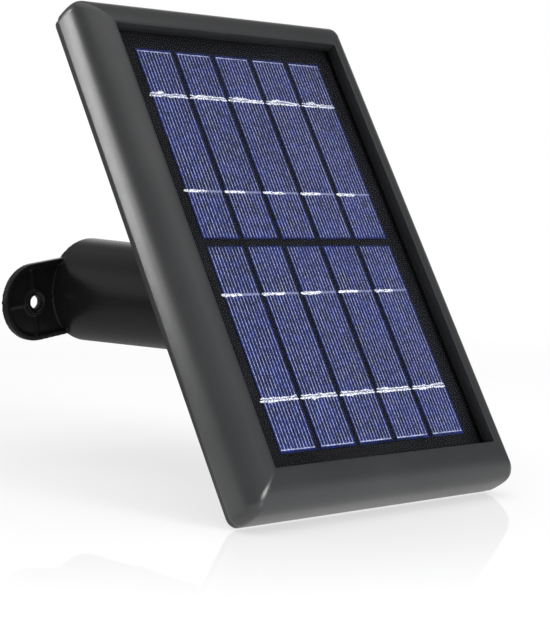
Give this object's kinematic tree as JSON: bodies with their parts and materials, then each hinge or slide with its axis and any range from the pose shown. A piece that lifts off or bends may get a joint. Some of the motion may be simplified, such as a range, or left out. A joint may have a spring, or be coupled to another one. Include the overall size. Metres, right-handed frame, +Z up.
{
  "type": "solar panel charger on wall mount",
  "caption": "Small framed solar charging panel on a barrel-shaped wall mount, with a swivel head, a tilting yoke and a spin joint behind the panel.",
  "frame": {"origin": "centre of the wall bracket's back face, on the axis of its barrel", "axes": "+Z up, -Y the way the panel faces away from the wall, +X to the right seen from the front"},
  "size_m": [0.1417, 0.1742, 0.1746],
  "materials": {
    "frame_plastic": "fine satin moulded texture, dark grey",
    "mount_plastic": "fine satin moulded texture, near black",
    "trim_plastic": "moulded black nylon",
    "friction_plastic": "natural acetal",
    "window": "clear, glossy",
    "silicon": "blue polycrystalline silicon under clear film",
    "tinned_ribbon": "tinned copper, lumpy solder",
    "board_black": "black solder resist",
    "board_green": "green solder resist",
    "component_black": "moulded epoxy and ferrite",
    "connector_white": "natural nylon",
    "rubber_black": "soft black rubber",
    "foam_grey": "closed-cell foam",
    "steel": "zinc-plated or stainless",
    "brass": "turned brass"
  },
  "bodies": {
    "bracket": {"wall_bracket": "mount_plastic", "swivel_o_ring": "rubber_black"},
    "head": {"swivel_head": "mount_plastic", "swivel_washer": "friction_plastic", "retaining_washer": "steel", "wave_spring": "steel", "swivel_screw": "steel"},
    "yoke": {"tilt_yoke": "mount_plastic", "tilt_bolt": "steel", "tilt_washers": "friction_plastic", "spin_washer": "friction_plastic"},
    "panel": {"front_bezel": "frame_plastic", "glass_gasket": "rubber_black", "cover_glass": "window", "solar_cell_1": "silicon", "solar_cell_2": "silicon", "solar_cell_3": "silicon", "solar_cell_4": "silicon", "solar_cell_5": "silicon", "solar_cell_6": "silicon", "solar_cell_7": "silicon", "solar_cell_8": "silicon", "solar_cell_9": "silicon", "solar_cell_10": "silicon", "tab_ribbon_1": "tinned_ribbon", "tab_ribbon_2": "tinned_ribbon", "tab_ribbon_3": "tinned_ribbon", "tab_ribbon_4": "tinned_ribbon", "cell_backboard": "board_black", "foam_pads": "foam_grey", "rear_cover": "frame_plastic", "cover_screws": "steel", "charge_board": "board_green", "charge_inductor": "component_black", "charge_controller": "component_black", "blocking_diode": "component_black", "output_connector": "connector_white", "header_pins": "brass", "board_screws": "steel", "gland_body": "trim_plastic", "gland_cap": "trim_plastic", "gland_seal": "rubber_black", "gland_locknut": "trim_plastic", "mount_plate": "mount_plastic", "hub_insert": "brass", "plate_screws": "steel", "backing_plate": "steel", "spin_screw": "steel"},
    "knob": {"clamp_knob": "trim_plastic", "knob_insert": "brass"}
  },
  "joints": [
    {"name": "swivel", "type": "hinge", "parent": "bracket", "child": "head", "pos_m": [0, -0.057, 0], "axis": [0, -1, 0], "continuous": true},
    {"name": "tilt", "type": "hinge", "parent": "head", "child": "yoke", "pos_m": [0, -0.075, 0], "axis": [-0.9908, 0, -0.1356], "range_deg": [-82.3, 17.7]},
    {"name": "spin", "type": "hinge", "parent": "yoke", "child": "panel", "pos_m": [0, -0.075, 0], "axis": [-0.0725, -0.8453, 0.5294], "continuous": true},
    {"name": "knob_turn", "type": "hinge", "parent": "yoke", "child": "knob", "pos_m": [0.01734, -0.075, 0.00237], "axis": [0.9908, 0, 0.1356], "range_deg": [0, 360]}
  ]
}
